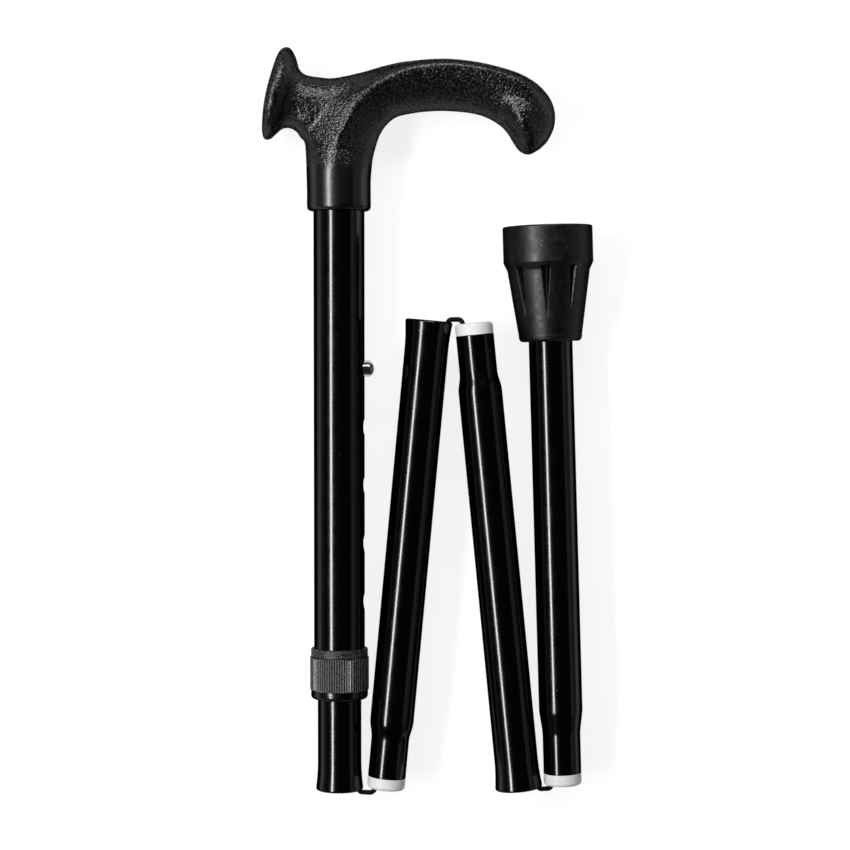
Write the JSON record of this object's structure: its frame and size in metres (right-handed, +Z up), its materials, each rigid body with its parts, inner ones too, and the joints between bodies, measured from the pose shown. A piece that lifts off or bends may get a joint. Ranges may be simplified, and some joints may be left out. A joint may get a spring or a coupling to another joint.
{
  "type": "folding cane",
  "caption": "Black folding walking cane with a contoured grip, push-together tube sections on an elastic cord, a push-button height setting with a lock nut, and a fluted rubber foot.",
  "frame": {"origin": "on the surface it lies on, under the middle of the folded cane's box", "axes": "+Z up from the surface, +Y along the upper tube towards the handle, +X across the folded sections"},
  "size_m": [0.1434, 0.3252, 0.039],
  "materials": {
    "grip": "pebbled black",
    "shaft": "gloss black coating",
    "lock_ring": "satin dark grey",
    "lock_nut": "satin black",
    "nylon": "natural nylon",
    "cap": "white nylon",
    "button": "polished",
    "spring_steel": "plain",
    "crimp": "plain",
    "ferrule": "satin black",
    "cord": "braided black cover"
  },
  "bodies": {
    "handle_section": {"handle": "grip", "upper_tube": "shaft", "lock_sleeve": "lock_ring"},
    "collet": {"clamp_collet": "nylon"},
    "nut": {"lock_nut": "lock_nut"},
    "inner_section": {"inner_tube": "shaft", "guide_bush": "nylon", "button_spring": "spring_steel", "upper_cord_anchor": "nylon", "upper_cord_crimp": "crimp", "cord_1": "cord"},
    "button": {"snap_button": "button"},
    "link_1": {"cord_loop_1": "cord"},
    "section_2": {"tube_2": "shaft", "plug_2": "cap", "cord_2": "cord"},
    "link_2": {"cord_loop_2": "cord"},
    "section_3": {"tube_3": "shaft", "plug_3": "cap", "cord_3": "cord"},
    "link_3": {"cord_loop_3": "cord"},
    "section_4": {"tube_4": "shaft", "plug_4": "cap", "cord_4": "cord", "lower_cord_anchor": "nylon", "lower_cord_crimp": "crimp", "ferrule": "ferrule", "ferrule_washer": "spring_steel"}
  },
  "joints": [
    {"name": "height", "type": "slide", "parent": "handle_section", "child": "inner_section", "axis": [0, -1, 0], "range_m": [0, 0.1016], "deforming": ["snap_button"]},
    {"name": "button_press", "type": "slide", "parent": "inner_section", "child": "button", "axis": [-1, 0, 0], "range_m": [0, 0.0058], "stiffness_N_per_m": 800, "deforming": ["button_spring"]},
    {"name": "collet_shift", "type": "slide", "parent": "handle_section", "child": "collet", "axis": [0, -1, 0], "range_m": [0, 0.00113]},
    {"name": "lock_turn", "type": "hinge", "parent": "collet", "child": "nut", "pos_m": [-0.03855, -0.10788, 0.0195], "axis": [0, -1, 0], "range_deg": [0, 270]},
    {"name": "plug_1", "type": "slide", "parent": "inner_section", "child": "link_1", "axis": [0, 1, 0], "range_m": [0, 0.0279], "deforming": ["cord_loop_1"]},
    {"name": "fold_1", "type": "hinge", "parent": "link_1", "child": "section_2", "pos_m": [-0.02856, -0.16038, 0.0195], "axis": [0, 0, -1], "range_deg": [0, 174.7], "deforming": ["cord_loop_1"]},
    {"name": "plug_2", "type": "slide", "parent": "section_2", "child": "link_2", "axis": [-0.0924, -0.9957, 0], "range_m": [0, 0.0279], "deforming": ["cord_loop_2"]},
    {"name": "fold_2", "type": "hinge", "parent": "link_2", "child": "section_3", "pos_m": [0.01015, 0.04473, 0.0195], "axis": [0, 0, 1], "range_deg": [0, 169.1], "deforming": ["cord_loop_2"]},
    {"name": "plug_3", "type": "slide", "parent": "section_3", "child": "link_3", "axis": [-0.0976, 0.9952, 0], "range_m": [0, 0.0279], "deforming": ["cord_loop_3"]},
    {"name": "fold_3", "type": "hinge", "parent": "link_3", "child": "section_4", "pos_m": [0.04946, -0.15941, 0.0195], "axis": [0, 0, -1], "range_deg": [0, 176.1], "deforming": ["cord_loop_3"]}
  ],
  "couplings": [
    {"joint": "collet_shift", "follows": "lock_turn", "m_per_rad": 0.00023873},
    {"joint": "fold_2", "follows": "fold_1", "ratio": 0.96795},
    {"joint": "fold_3", "follows": "fold_1", "ratio": 1.008}
  ]
}
